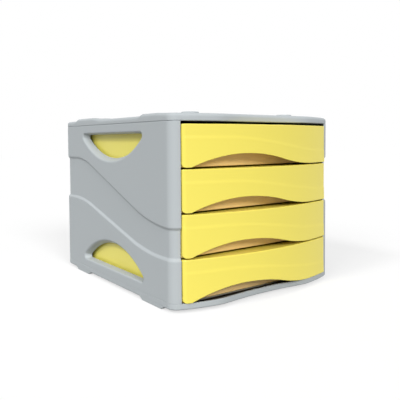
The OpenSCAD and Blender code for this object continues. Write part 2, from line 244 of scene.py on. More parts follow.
def moulded_plastic(name, colour, roughness, grain_height, grain_size, mottle, painted_shade_colour=None):
    """Moulded plastic: a faint uneven tone, a fine grain and a soft, slightly uneven gloss.

    What lies behind the fronts, as far back as the trays' front walls, can be given painted shade: a colour
    of its own that stands in for the shadow falling in there."""
    f = Finish(name)
    place = f.place()
    cloud = f.noise(place, 14.0, 3.0, Roughness=0.5)
    fine = f.noise(place, 1 / grain_size, 2.0)
    peel = f.noise(place, 90.0, 1.0)
    tone = f.blend(cloud, tinted(colour, 1 - mottle), tinted(colour, 1 + mottle))
    # painted shade: in front of the trays' front walls the tone is blended over to the painted shade colour
    if painted_shade_colour is not None:
        depth = f.node("ShaderNodeSeparateXYZ", {}, {"Vector": place}, output=1)
        start, end = ((FRONT_Y + TRAY_FRONT + behind) * MM for behind in (1.6, 1.0))
        near = f.node("ShaderNodeMapRange", {}, {"Value": depth, "From Min": start, "From Max": end})
        tone = f.blend(near, tone, tinted(painted_shade_colour, 1))
    grain = f.bump(fine * grain_height + peel * (grain_height * 2))
    return f.finish(
        Base_Color=tone, Roughness=cloud * 0.10 + fine * 0.06 + (roughness - 0.08), Normal=grain)


def rubber(name, colour):
    f = Finish(name)
    speck = f.noise(f.place(), 900.0, 2.0)
    tone = f.blend(speck, tinted(colour, 0.8), tinted(colour, 1.2))
    return f.finish(Base_Color=tone, Roughness=speck * 0.1 + 0.7, Normal=f.bump(speck * 0.00008, 0.6))


def stage_floor(name, colour):
    """Pale floor: white to the camera where nothing shades it."""
    f = Finish(name)
    f.finish(Base_Color=(*colour, 1.0), Roughness=0.9, Specular_IOR_Level=0.0)
    seen = f.node("ShaderNodeLightPath", output=0) + f.node("ShaderNodeLightPath", output=3)
    glow = f.node("ShaderNodeEmission", {}, {"Color": (1, 1, 1, 1), "Strength": seen * FLOOR_GLOW})
    both = f.node("ShaderNodeAddShader", {}, {0: Value(f, f.shader.outputs[0]), 1: glow})
    f.set(f.nodes["Material Output"].inputs["Surface"], both)
    return f.material


# ---------------------------------------------------------------- outlines

BOW_CORNER, HUMP_BLEND = 1.0, 4
FLANK_SLOPE, FLANK_FALL, FALL_L = 0.235, 2.0, 23.0
SADDLE_RISE, SADDLE_SLOPE, SADDLE_HALF, SADDLE_BLEND = 8.2, 0.135, 31, 2
FRONT_RISE, FRONT_END = 22.5, 3.0

# the wave band's edges: height at the front and at the back, middle, slope and radii of the two bends
LOWER_WAVE = (55.0, 110.6, MIDDLE_Y - 2, 0.28, 300, 230)
UPPER_WAVE = (93.4, 175.5, MIDDLE_Y - 10, 0.39, 250, 140)


def smooth_min(a, b, k):
    return (a + b - math.hypot(a - b, k)) / 2


def smooth_max(a, b, k):
    return (a + b + math.hypot(a - b, k)) / 2


def ease(t):
    t = max(0.0, min(1.0, t))
    return t * t * (3 - 2 * t)


def arc(cx, cy, r, start, end, steps):
    turns = (math.radians(start + (end - start) * i / steps) for i in range(steps + 1))
    return [(cx + r * math.cos(a), cy + r * math.sin(a)) for a in turns]


def bow(x):
    """How far cover and base stand forward at x: two humps with a saddle between them."""
    u = abs(x)
    back = max(u - (JAMB_X - 1 - FALL_L), 0.0) / FALL_L
    flank = BOW_CORNER + FLANK_FALL * (1 - back**2) + FLANK_SLOPE * (JAMB_X - 1 - u)
    saddle = smooth_max(SADDLE_RISE + SADDLE_SLOPE * (u - SADDLE_HALF), SADDLE_RISE, SADDLE_BLEND)
    return min(smooth_min(flank, saddle, HUMP_BLEND), NOSE)


def front_bow(x):
    """How far the drawer fronts stand forward at x: one bow from end to end."""
    return FRONT_RISE - (FRONT_RISE - FRONT_END) * (x / JAMB_X) ** 2


def plan(inset, corner_r, sides=(), corner_steps=14, bow_steps=110):
    """Outline of cover and base, drawn in by inset, with extra points at the given places of both sides."""
    slope = FLANK_SLOPE + 2 * FLANK_FALL / FALL_L
    tilt = math.atan(slope)
    r = max(corner_r - inset, 2.0)
    cx = HALF_W - inset - r
    line = inset * math.hypot(1, FLANK_SLOPE)
    front_y = line + r / math.cos(tilt) - bow(cx)
    back_y = DEPTH - inset - r
    end_x = cx + r * math.sin(tilt)
    turn = math.degrees(tilt)
    xs = [end_x * (2 * i / bow_steps - 1) for i in range(1, bow_steps)]
    return (
        [(inset - HALF_W, y) for y in reversed(sides)]
        + arc(-cx, front_y, r, 180, 270 - turn, corner_steps)
        + [(x, line - bow(x)) for x in xs]
        + arc(cx, front_y, r, 270 + turn, 360, corner_steps)
        + [(HALF_W - inset, y) for y in sides]
        + arc(cx, back_y, r, 0, 90, corner_steps)
        + arc(-cx, back_y, r, 90, 180, corner_steps)
    )


def wave(y, low, high, middle, slope, r_low, r_high):
    """Height of a band's edge: level, arc, straight ramp, arc, level."""
    tilt = math.atan(slope)
    run = (high - low) / 2 / slope
    start = middle - run - r_low * math.tan(tilt / 2)
    end = middle + run + r_high * math.tan(tilt / 2)
    if y <= start:
        return low
    if y >= end:
        return high
    if y < start + r_low * math.sin(tilt):
        return low + r_low - math.sqrt(r_low**2 - (y - start) ** 2)
    if y > end - r_high * math.sin(tilt):
        return high - r_high + math.sqrt(r_high**2 - (end - y) ** 2)
    return (low + high) / 2 + slope * (y - middle)


# ---------------------------------------------------------------- meshes


class Shell:
    """Points and faces of one moulding, in millimetres."""

    def __init__(self):
        self.points = []
        self.faces = []

    def ring(self, points):
        first = len(self.points)
        self.points.extend(points)
        return list(range(first, len(self.points)))

    def strip(self, a, b):
        n = len(a)
        for i in range(n):
            j = (i + 1) % n
            self.faces.append((a[i], a[j], b[j], b[i]))

    def skin(self, rings):
        for a, b in zip(rings, rings[1:]):
            self.strip(a, b)

    def fill(self, *loops):
        flat = [k for loop in loops for k in loop]
        outlines = [[Vector(self.points[k]) for k in loop] for loop in loops]
        self.faces.extend(tuple(flat[i] for i in face) for face in tessellate_polygon(outlines))

    def closed(self, rings):
        """A skin over rings, with both ends filled."""
        self.skin(rings)
        self.fill(rings[0])
        self.fill(rings[-1])

    def box(self, low, high):
        """A closed box, joined to the others in the same mesh."""
        corners = [(x, y, z) for z in (low[2], high[2]) for y in (low[1], high[1]) for x in (low[0], high[0])]
        a, b, c, d, e, f, g, h = self.ring(corners)
        self.faces.extend([(a, c, d, b), (e, f, h, g)])
        self.faces.extend([(a, b, f, e), (b, d, h, f), (d, c, g, h), (c, a, e, g)])

    def prism(self, outline, offset):
        """An outline of points and its copy moved by offset, closed at both ends."""
        near = self.ring(outline)
        far = self.ring([tuple(p + o for p, o in zip(point, offset)) for point in outline])
        self.strip(near, far)
        self.fill(near)
        self.fill(far)

    def build(self, name, material, body, slot, stands_for=(), half_turn=False, bevel=0.0):
        """Makes the piece and lets it ride on its body."""
        mesh = bpy.data.meshes.new(name)
        sign = -1 if half_turn else 1
        shift = FRONT_Y + (DEPTH if half_turn else 0)
        mesh.from_pydata(
            [(sign * x * MM, (sign * y + shift) * MM, z * MM) for x, y, z in self.points], [], self.faces)
        work = bmesh.new()
        work.from_mesh(mesh)
        bmesh.ops.recalc_face_normals(work, faces=work.faces)
        work.to_mesh(mesh)
        work.free()
        mesh.materials.append(material)
        mesh.shade_smooth()
        mesh.set_sharp_from_angle(angle=math.radians(CRISP_ANGLE))
        piece = bpy.data.objects.new(name, mesh)
        bpy.context.scene.collection.objects.link(piece)
        if bevel:
            edge = piece.modifiers.new("edges", "BEVEL")
            edge.width = bevel * MM
            edge.segments = 3
            edge.limit_method = "ANGLE"
            edge.harden_normals = True
        weighted = piece.modifiers.new("normals", "WEIGHTED_NORMAL")
        weighted.keep_sharp = True
        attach(piece, body)
        if stands_for:
            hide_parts(*stands_for)
        return piece


def quarter(steps):
    """Sine and fall of a quarter round, from its start to its end."""
    turns = (math.radians(90 * i / steps) for i in range(steps + 1))
    return [(math.sin(a), 1 - math.cos(a)) for a in turns]


# ---------------------------------------------------------------- side panels


def section_rows(low, high, base, depth, half, shift, edge, side):
    """One face of a panel's section from bottom to top, as (inset, height), and its two flat zones."""
    margin, steps = 1.6, 10
    up = [(base + side * edge * (1 - s), edge * f) for s, f in quarter(3)]
    rows = list(up)
    rows.append((base, margin))
    zones = [len(rows) - 1]
    rows.append((base, low - half - shift - 1))
    for i in range(steps + 1):
        rows.append((base + depth * ease(i / steps), low - shift + half * (2 * i / steps - 1)))
    rows.append((base + depth, low + half - shift + 1))
    rows.append((base + depth, high - half + shift - 1))
    for i in range(steps + 1):
        rows.append((base + depth * (1 - ease(i / steps)), high + shift + half * (2 * i / steps - 1)))
    rows.append((base, high + half + shift + 1))
    zones.append(len(rows) - 1)
    rows.append((base, PANEL_H - margin))
    rows.extend((inset, PANEL_H - z) for inset, z in reversed(up))
    return rows, zones


def hole_outline(a, b):
    """Outline of the lower hand hole, drawn in by a at its straight side and by b at its arc."""
    arc_r, reach, margin, corner = 147.4, 54.7, 12.4, 5.2
    below = arc_r - reach
    r = corner - a
    v = margin + corner
    u = math.sqrt((arc_r - b - r) ** 2 - (below + v) ** 2)
    turn = math.degrees(math.atan2(below + v, u))
    return (
        arc(u, v, r, -90, turn, 9)
        + arc(0, -below, arc_r - b, turn, 180 - turn, 56)[1:-1]
        + arc(-u, v, r, 180 - turn, 270, 9)
    )


def hole_rings(lip, wall):
    """The rings of a hand hole: from the outer face round the lip, down the funnel, to the inner face."""
    depth, middle, reach, rim = 10.0, 5.0, 2.4, 2.2
    slope_a, slope_b = 2.2 / depth, 5.5 / depth
    rings = [(0, -lip - 1, -lip - 1)]
    for i in range(9):
        t = i / 8
        w = t * t * reach
        out = lip * (1 - t) ** 2
        rings.append((w, slope_a * w - out, slope_b * w - out))
    rings.append((middle, slope_a * middle, slope_b * middle))
    tip = rim / 2
    for i in range(7):
        turn = math.radians(30 * i)
        w = depth - tip + tip * math.sin(turn)
        back = tip * (1 - math.cos(turn))
        rings.append((w, slope_a * w - back, slope_b * w - back))
    fillet = ((wall + 1.6, 0), (wall + 0.7, 0.3), (wall + 0.2, 0.9), (wall, 1.8), (wall, 2.8))
    for w, out in ((middle, 0), *fillet):
        rings.append((w, slope_a * w - rim - out, slope_b * w - rim - out))
    return rings


def panel_stations(corner_r, tip):
    """Centre, angle and thinning of the sections, from the front jamb round to the back jamb."""
    corner_x = HALF_W - corner_r
    jamb = 270 - math.degrees(math.asin((JAMB_X - corner_x) / corner_r))
    tip_turn = math.degrees(tip / corner_r)
    full = jamb - tip_turn
    ends = [(full + tip_turn * s, tip * f) for s, f in quarter(4)][:0:-1]
    front = ends + [(full + (180 - full) * i / 14, 0.0) for i in range(15)]
    side_steps = 84
    run = DEPTH - 2 * corner_r
    side = [(-corner_x, corner_r + run * i / side_steps, 180.0, 0.0) for i in range(1, side_steps)]
    return (
        [(-corner_x, corner_r, angle, thin) for angle, thin in front]
        + side
        + [(-corner_x, DEPTH - corner_r, 360 - angle, thin) for angle, thin in reversed(front)]
    ), len(front) - 1, len(front) + len(side)


def panel_wall(shell, sizes):
    corner_r, wall, depth = mm(sizes.corner_radius), mm(sizes.wall), mm(sizes.band_depth)
    half, lip = mm(sizes.band_slope) / 2, mm(sizes.lip)
    stations, first, last = panel_stations(corner_r, wall / 2 - 0.05)
    sections = []
    for cx, cy, angle, thin in stations:
        low, high = wave(cy, *LOWER_WAVE), wave(cy, *UPPER_WAVE)
        outer, outer_zones = section_rows(low, high, 0.0, depth, half, 0.0, 0.5, 1)
        inner, _ = section_rows(low, high, wall, depth, half, 0.27 * wall, 0.5, -1)
        rows = [(inset + thin, z) for inset, z in outer] + [(inset - thin, z) for inset, z in reversed(inner)]
        turn = math.radians(angle)
        sections.append(shell.ring([
            (cx + (corner_r - inset) * math.cos(turn), cy + (corner_r - inset) * math.sin(turn), SEAM_Z + z)
            for inset, z in rows
        ]))
    n = len(sections[0])
    half_n = n // 2
    low_zone, high_zone = outer_zones
    open_rows = {low_zone, high_zone, n - 2 - low_zone, n - 2 - high_zone}
    for k, (a, b) in enumerate(zip(sections, sections[1:])):
        for i in range(n):
            if i in open_rows and first <= k < last:
                continue
            j = (i + 1) % n
            shell.faces.append((a[i], a[j], b[j], b[i]))
    for end in (sections[0], sections[-1]):
        for i in range(half_n - 1):
            shell.faces.append((end[i], end[i + 1], end[n - 2 - i], end[n - 1 - i]))
    straight = sections[first:last + 1]
    for upper, row in ((False, low_zone), (True, high_zone)):
        rings = []
        for w, a, b in hole_rings(lip, wall):
            rings.append(shell.ring([
                (w - HALF_W, MIDDLE_Y + u, SEAM_Z + (PANEL_H - v if upper else v))
                for u, v in hole_outline(a, b)
            ]))
        shell.skin(rings)
        for zone, ring in ((row, rings[0]), (n - 2 - row, rings[-1])):
            shell.fill([s[zone] for s in straight] + [s[zone + 1] for s in reversed(straight)], ring)


def panel_runners(shell, sizes):
    """Ledges that carry the drawers, with gussets, and the teeth that stop the drawers in two lanes."""
    root = (mm(sizes.band_depth) + mm(sizes.wall)) / 2
    near, far = root - HALF_W, LANE_W - INNER_LANE
    front_tooth, back_tooth = 61.6, DEPTH - 67.6
    tooth_l, gusset, gusset_t = 6, 9, 2
    for i in DRAWERS:
        z = SEAM_Z + LIFT + i * PITCH - SLIDE_GAP
        low = z - LEDGE_T
        shell.box((near, LEDGE_FRONT, low), (far, LEDGE_BACK, z))
        for x, y in ((-OUTER_LANE, front_tooth), (-INNER_LANE, back_tooth)):
            shell.box((x, y, low - TOOTH_H), (x + LANE_W, y + tooth_l, low + 0.5))
        for y in (29, 55, 281, 305):
            corners = [(near, y, low + 0.5), (near + gusset, y, low + 0.5), (near, y, low - gusset)]
            shell.prism(corners, (0, gusset_t, 0))


class OBJECT_OT_side_panels(bpy.types.Operator):
    """The two wrap-round side panels, one of them turned half round"""

    bl_idname = "drawers.side_panels"
    bl_label = "Side panels"

    def execute(self, context):
        sizes = context.scene.cabinet_sizes
        grey = bpy.data.materials["housing_grey"]
        for side in ("left", "right"):
            kept = dict(
                material=grey, body=BODY, slot="housing_grey", stands_for=[side + "_side_panel"],
                half_turn=side == "right")
            wall = Shell()
            panel_wall(wall, sizes)
            wall.build(side + "_panel_wall", **kept)
            runners = Shell()
            panel_runners(runners, sizes)
            runners.build(side + "_panel_runners", bevel=0.4, **kept)
        return {"FINISHED"}


# ---------------------------------------------------------------- top cover


COVER_TOP, COVER_SIDE = 10.0, 8.5
FRONT_LUG = ((-30, 9.9), (12, 10.0), (42, 11.2), (75, 11.2), (85, COVER_SIDE))
BACK_LUG = ((190, COVER_SIDE), (236, 11.8), (284, 11.8), (298, COVER_SIDE))
LUG_W = 8.4
LUG_CORNER = 16
EDGE_INSETS = (5.6, 6.6, 6.9, 7.2, 7.5, 7.8, 8.1, 8.4, 8.8, 10.0, 12.0, 14.0, 16.0, 18.0, 20.0, 22.0)
STUD_X, STUD_Y, STUD_R = 88, 43, 12
STUD_FOOT, STUD_TOP, STUD_FLARE, STUD_EDGE = 9.9, 14.2, 1.2, 1.8
COVER_RIB = 2.0
COVER_Z = SEAM_Z + PANEL_H


def lug_height(y):
    """Height of the left edge's stacking lugs over the cover's lower edge."""
    for profile in (FRONT_LUG, BACK_LUG):
        for (y0, h0), (y1, h1) in zip(profile, profile[1:]):
            if y0 <= y < y1:
                return h0 + (h1 - h0) * ease((y - y0) / (y1 - y0))
    return COVER_SIDE


def cover_edge(x, y):
    """Heights of the cover's edge at a point of its outline: without and with the lugs."""
    crown = COVER_TOP - (COVER_TOP - COVER_SIDE) * (abs(x) / HALF_W) ** 3
    along = y if x < 0 else DEPTH - y
    if abs(x) > HALF_W - LUG_CORNER:
        raised = lug_height(along)
    else:
        raised = crown if along > MIDDLE_Y else COVER_TOP - 0.1
    return crown, max(crown, raised)


def cover_shell(sizes):
    """The cover: a groove and a lip at the seam, a rounded edge with the lugs, and a hollow underside."""
    shell = Shell()
    corner_r, wall, round_r = mm(sizes.corner_radius), mm(sizes.wall), mm(sizes.cover_round)
    start = 18
    sides = [start + (DEPTH - 2 * start) * i / 100 for i in range(101)]
    edges = [cover_edge(x, y) for x, y in plan(0, corner_r, sides)]

    def ring(inset, height):
        return shell.ring([
            (x, y, COVER_Z + height(*edge)) for (x, y), edge in zip(plan(inset, corner_r, sides), edges)])

    def top_at(inset, crown, raised):
        level = crown + (COVER_TOP - crown) * ease((inset - round_r) / 17)
        return level + (max(raised, level) - level) * (1 - ease((inset - LUG_W + 1.6) / 1.8))

    groove, lip = 0.9, 0.5
    outer = [ring(groove, lambda c, r: 0.0), ring(groove, lambda c, r: groove * 0.6)]
    outer += [
        ring(lip * (1 - s), lambda c, r, f=f: groove * 0.6 + lip * f) for s, f in quarter(3)]
    outer.append(ring(0, lambda c, r: 2.5))
    outer += [
        ring(round_r * f, lambda c, r, s=s, f=f: top_at(round_r * f, c, r) - round_r * (1 - s))
        for s, f in quarter(7)]
    outer += [ring(inset, lambda c, r, i=inset: top_at(i, c, r)) for inset in (round_r + 0.6, *EDGE_INSETS)]
    inner = [
        ring(wall, lambda c, r: 0.0), ring(wall, lambda c, r: c - round_r - 0.5),
        ring(wall + 2, lambda c, r: c - wall), ring(EDGE_INSETS[-1], lambda c, r: COVER_TOP - wall)]
    shell.skin(outer)
    shell.skin(inner)
    shell.strip(outer[0], inner[0])
    shell.fill(outer[-1])
    shell.fill(inner[-1])
    return shell


def raised_boss(shell, outline, z0, z1, flare, edge):
    """A boss on the cover: a concave flare at its foot, upright walls and a rounded top."""
    def ring(wider, z):
        return shell.ring([(x, y, z) for x, y in outline(wider)])

    foot = ring(flare, z0 - 1.0)
    flared = [ring(flare * (1 - s), z0 + flare * f) for s, f in quarter(4)]
    top = [ring(-edge * f, z1 - edge + edge * s) for s, f in quarter(5)]
    shell.closed([foot, *flared, *top])


class OBJECT_OT_top_cover(bpy.types.Operator):
    """The cover with its crowned edge and the lugs and studs for stacking"""

    bl_idname = "drawers.top_cover"
    bl_label = "Top cover"

    def execute(self, context):
        grey = bpy.data.materials["housing_grey"]
        cover = cover_shell(context.scene.cabinet_sizes)
        cover.build("cover_shell", grey, BODY, "housing_grey", ["top_cover"])
        places = [(x, y) for y in (STUD_Y, DEPTH - STUD_Y) for x in (-STUD_X, STUD_X)]
        for number, (x, y) in enumerate(places, 1):
            stud = Shell()
            raised_boss(
                stud, lambda wider: arc(x, y, STUD_R + wider, 0, 360, 64)[:-1],
                COVER_Z + STUD_FOOT, COVER_Z + STUD_TOP, STUD_FLARE, STUD_EDGE)
            stud.build(f"stack_stud_{number}", grey, BODY, "housing_grey", ["top_cover"])
        ribs = Shell()
        lane = INNER_LANE - LANE_W - 0.2
        for x in (-lane, lane - COVER_RIB):
            ribs.box((x, 24, COVER_Z - 3.7), (x + COVER_RIB, DEPTH - 36, COVER_Z + 8))
        ribs.build("cover_ribs", grey, BODY, "housing_grey", ["top_cover"], bevel=0.3)
        return {"FINISHED"}


# ---------------------------------------------------------------- base


BASE_H = SEAM_Z - BASE_LOW.z - FOOT_H
FLOOR_TOP, FLOOR_T = -0.8, 2.5
FLOOR_RIBS = (-90, -30, 30, 90)
FEET = ((24.0, 60.0), (244.0, 54.0))
FOOT_W, FOOT_RAMP = 8.0, 6.0


def base_rim(shell, sizes):
    """The rim all round: a wall with a rounded lower edge."""
    corner_r, wall, round_r = mm(sizes.corner_radius), mm(sizes.wall), mm(sizes.base_round)

    def ring(inset, z):
        return shell.ring([(x, y, SEAM_Z + z) for x, y in plan(inset, corner_r)])

    inner = wall + 0.6
    rings = [ring(inner, -BASE_H), ring(inner, -0.4), ring(inner - 0.4, 0.0)]
    rings += [ring(0.5 * (1 - s), -0.5 * f) for s, f in quarter(3)]
    rings.append(ring(0, -2.5))
    rings += [ring(round_r * f, -BASE_H + round_r * (1 - s)) for s, f in quarter(7)]
    shell.skin(rings + rings[:1])


def between(outline, low, high):
    """The part of an outline between two depths."""
    for limit, side in ((low, 1), (high, -1)):
        kept = []
        for (x0, y0), (x1, y1) in zip(outline, outline[1:] + outline[:1]):
            if side * (y0 - limit) >= 0:
                kept.append((x0, y0))
            if (y0 - limit) * (y1 - limit) < 0:
                kept.append((x0 + (x1 - x0) * (limit - y0) / (y1 - y0), limit))
        outline = kept
    return outline


def base_floor(shell, sizes):
    """The floor under the trays, and the trough behind the rim's bowed front."""
    outline = plan(mm(sizes.wall), mm(sizes.corner_radius))
    step, back = TRAY_FRONT, TRAY_FRONT + 2
    level, low = SEAM_Z + FLOOR_TOP, SEAM_Z - BASE_H
    shell.prism([(x, y, level - FLOOR_T) for x, y in between(outline, step, DEPTH)], (0, 0, FLOOR_T))
    shell.prism([(x, y, low) for x, y in between(outline, -NOSE, step)], (0, 0, 2))
    shell.prism([(x, y, low) for x, y in between(outline, step, back)], (0, 0, level - 0.5 - low))


def base_ribs(shell):
    """Rails for the lowest drawer on the floor, ribs under it."""
    low, high = SEAM_Z - BASE_H + 1, SEAM_Z + FLOOR_TOP - 1
    for s in (-1, 1):
        x0, x1 = sorted((s * (TRAY_X - 4), s * TRAY_X))
        shell.box((x0, LEDGE_FRONT, SEAM_Z - 1.3), (x1, LEDGE_BACK, SEAM_Z + LIFT - SLIDE_GAP))
    for x in FLOOR_RIBS:
        shell.box((x - 1, TRAY_FRONT + 1, low), (x + 1, DEPTH - 2, high))
    for y in (FEET[0][0] + FEET[0][1], MIDDLE_Y, FEET[1][0]):
        shell.box((2 - HALF_W, y - 1, low), (HALF_W - 2, y + 1, high))


def foot_outline(start, length):
    """Side view of a foot block, with a ramp at each end under the rim."""
    end, top, rim = start + length, SEAM_Z - 4, SEAM_Z - BASE_H
    ground = rim - FOOT_H
    return [
        (start, top), (start, rim), (start + FOOT_RAMP, ground),
        (end - FOOT_RAMP, ground), (end, rim), (end, top),
    ]


class OBJECT_OT_base(bpy.types.Operator):
    """The base tray with its bowed front, rails, ribs and four feet"""

    bl_idname = "drawers.base"
    bl_label = "Base"

    def execute(self, context):
        sizes = context.scene.cabinet_sizes
        # the second finish is the housing's grey with painted shade in the trough before the lowest tray
        grey, painted_shade_grey = bpy.data.materials["housing_grey"], bpy.data.materials["trough_grey_painted_shade"]
        rim, floor, ribs, feet = (Shell() for _ in range(4))
        base_rim(rim, sizes)
        base_floor(floor, sizes)
        base_ribs(ribs)
        edge = HALF_W - 0.15
        for x in (-edge, edge - FOOT_W):
            for place in FEET:
                feet.prism([(x, y, z) for y, z in foot_outline(*place)], (FOOT_W, 0, 0))
        rim.build("base_rim", grey, BODY, "housing_grey", ["base"])
        floor.build("base_floor", painted_shade_grey, BODY, "housing_grey", ["base"], bevel=0.3)
        ribs.build("base_ribs", grey, BODY, "housing_grey", ["base"], bevel=0.3)
        feet.build("base_feet", grey, BODY, "housing_grey", ["base"], bevel=0.7)
        return {"FINISHED"}


# ---------------------------------------------------------------- drawers


ARCH_LEFT, ARCH_TOP, ARCH_RIGHT = -121.0, -42.0, 89.0
CREASE_HIGH, CREASE_FALL, CREASE_START, CREASE_RUN = 38.0, 20.0, -70.0, 195.0
CREASE_BAND = 2.6
CHEEK_TURN = -63
TRAY_CORNER = 6.0


def arch_height(x, rise):
    """The finger pull's edge: an arc on the left, an S of two arcs on the right."""
    if x <= ARCH_LEFT or x >= ARCH_RIGHT:
        return 0.0
    d = x - ARCH_TOP
    if d < 0:
        run = ARCH_TOP - ARCH_LEFT
        r = (run * run + rise * rise) / (2 * rise)
        return rise - r + math.sqrt(r * r - d * d)
    half = (ARCH_RIGHT - ARCH_TOP) / 2
    r = (half * half + rise * rise / 4) / rise
    if d < half:
        return rise - r + math.sqrt(r * r - d * d)
    return r - math.sqrt(r * r - (ARCH_RIGHT - x) ** 2)


def crease_height(x):
    return CREASE_HIGH - CREASE_FALL * ease((x - CREASE_START) / CREASE_RUN)


def front_shell(sizes, z0):
    """The bowed front with its crease and arch, and the web that joins it to the tray."""
    shell = Shell()
    wall, rise = mm(sizes.wall), mm(sizes.arch_rise)
    step, flare, end_r = mm(sizes.crease_step), mm(sizes.crease_flare), mm(sizes.end_round)
    inset, edge, top_r = step + flare, 0.5, 1.2
    steps = 130
    span = FRONT_X - end_r
    columns = [(-(span + end_r * s), end_r * f) for s, f in quarter(8)][::-1]
    columns += [(span * (2 * i / steps - 1), 0.0) for i in range(1, steps)]
    columns += [(span + end_r * s, end_r * f) for s, f in quarter(8)]
    rings = []
    for x, back in columns:
        line = inset - front_bow(x) + back
        foot = arch_height(x, rise) + back
        crease = crease_height(x)
        top = FRONT_H - back / 4

        def face(z, line=line, crease=crease):
            below = ease((crease + CREASE_BAND - z) / (2 * CREASE_BAND))
            return line - step * below - flare * max(0.0, (crease - z) / crease) ** 1.5

        inner = max(inset - front_bow(x) + wall, line + 0.1)
        points = [(inner, foot + edge)]
        points += [(inner - edge * f, foot + edge * (1 - s)) for s, f in quarter(3)][1:]
        out = face(foot + edge)
        points += [(out + edge * (1 - s), foot + edge * f) for s, f in quarter(3)]
        start, low, high = foot + edge, crease - CREASE_BAND - 0.2, crease + CREASE_BAND + 0.2
        rows = [start + (low - start) * i / 7 for i in range(1, 7)]
        rows += [low + (high - low) * i / 10 for i in range(11)]
        rows += [high + (top - top_r - high) * i / 5 for i in range(1, 6)]
        points += [(face(z), z) for z in rows]
        points += [(line + top_r * f, top - top_r * (1 - s)) for s, f in quarter(5)][1:]
        points += [(TRAY_FRONT + wall - 1.0, top)]
        points += [(TRAY_FRONT + wall - 0.8 + 0.8 * s, top - 0.8 * f) for s, f in quarter(3)]
        under = FRONT_H - wall
        points += [(TRAY_FRONT + wall, under), (inner + 1.0, under), (inner, under - 1.0)]
        rings.append(shell.ring([(x, y, z0 + z) for y, z in points]))
    shell.closed(rings)
    return shell


def tray_outline(inset):
    """Outline of a tray, drawn in by inset, with points close together where its rim falls."""
    x, back, r = TRAY_X - inset, TRAY_BACK - inset, TRAY_CORNER - inset
    front = TRAY_FRONT + inset
    side = [front + (back - r - front) * t for t in (0.01, 0.02, 0.035, 0.06, 0.3, 0.6)]
    return (
        [(-x + 2 * x * i / 8, front) for i in range(9)]
        + [(x, y) for y in side]
        + arc(x - r, back - r, r, 0, 90, 8)
        + arc(-(x - r), back - r, r, 90, 180, 8)
        + [(-x, y) for y in reversed(side)]
    )


def tray_shell(sizes, z0):
    """A tray: a rounded rim, high at the front and lower along the sides, and a fillet round the floor."""
    shell = Shell()
    wall = mm(sizes.wall)
    front_rim = FRONT_H - 1.5
    rims = [front_rim + (RIM_H - front_rim) * ease((y - TRAY_FRONT - 0.5) / 3) for _, y in tray_outline(0)]

    def ring(inset, height):
        return shell.ring([(x, y, z0 + height(rim)) for (x, y), rim in zip(tray_outline(inset), rims)])

    foot, rim_r, fillet = 1.2, wall / 2, 2.0
    rings = [ring(foot + 1, lambda rim: 0.0)]
    rings += [ring(foot * (1 - s), lambda rim, f=f: foot * f) for s, f in quarter(5)]
    rings += [ring(rim_r * f, lambda rim, s=s: rim - rim_r * (1 - s)) for s, f in quarter(4)]
    rings += [ring(wall - rim_r * f, lambda rim, s=s: rim - rim_r * (1 - s)) for s, f in quarter(4)[-2::-1]]
    rings += [ring(wall + fillet * f, lambda rim, s=s: wall + fillet * (1 - s)) for s, f in quarter(5)]
    rings.append(ring(wall + fillet + 1, lambda rim: wall))
    shell.closed(rings)
    return shell


class OBJECT_OT_drawers(bpy.types.Operator):
    """The four drawers: bowed front, end cheeks, tray and stop ears"""

    bl_idname = "drawers.drawers"
    bl_label = "Drawers"

    def execute(self, context):
        sizes = context.scene.drawer_sizes
        yellow = bpy.data.materials["drawer_yellow"]
        wall, end_r = mm(sizes.wall), mm(sizes.end_round)
        for number in DRAWERS:
            node, body = f"drawer_{number}", f"drawer_body_{number}"
            z0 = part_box(node)[0].z / MM
            kept = dict(material=yellow, body=body, slot="drawer_yellow", stands_for=[node])
            front_shell(sizes, z0).build(f"drawer_{number}_front", **kept)
            # the tray's finish is the drawers' yellow with painted shade on its front wall behind the finger
            # pull
            tray = dict(kept, material=bpy.data.materials["tray_yellow_painted_shade"])
            tray_shell(sizes, z0).build(f"drawer_{number}_tray", **tray)
            small = Shell()
            line = end_r - front_bow(FRONT_X)
            for s in (-1, 1):
                corner = arc(FRONT_X - end_r, end_r, end_r, 0, CHEEK_TURN, 6)
                cheek = [(FRONT_X - wall, FRONT_H - 1), (FRONT_X, FRONT_H - 1), *corner]
                small.prism([(s * x, line, z0 + z) for x, z in cheek], (0, TRAY_FRONT + 1 - line, 0))
            low, high, front = z0 + RIM_H - EAR_FOOT, z0 + RIM_H + EAR_H, TRAY_BACK - EAR_L
            small.box((0.4 - OUTER_LANE, front, low), (LANE_W - 0.3 - OUTER_LANE, TRAY_BACK - 4, high))
            small.box((INNER_LANE - LANE_W + 0.3, front, low), (INNER_LANE - 0.3, TRAY_BACK, high))
            small.build(f"drawer_{number}_cheeks_and_ears", bevel=0.6, **kept)
        return {"FINISHED"}


# ---------------------------------------------------------------- back panel and pads


class OBJECT_OT_back_and_pads(bpy.types.Operator):
    """The back panel and the anti-slip pads keep their frame shapes and get their finish"""

    bl_idname = "drawers.back_and_pads"
    bl_label = "Back panel and pads"

    def execute(self, context):
        finishes = {"back_panel": "housing_grey"}
        finishes.update({name: "pad_rubber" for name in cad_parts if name.startswith("pad_")})
        for name, material in finishes.items():
            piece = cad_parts[name]
            piece.data.materials.clear()
            piece.data.materials.append(bpy.data.materials[material])
            edge = piece.modifiers.new("edges", "BEVEL")
            edge.width = 0.3 * MM
            edge.segments = 2
            edge.limit_method = "ANGLE"
        return {"FINISHED"}


# ---------------------------------------------------------------- finishes and stage


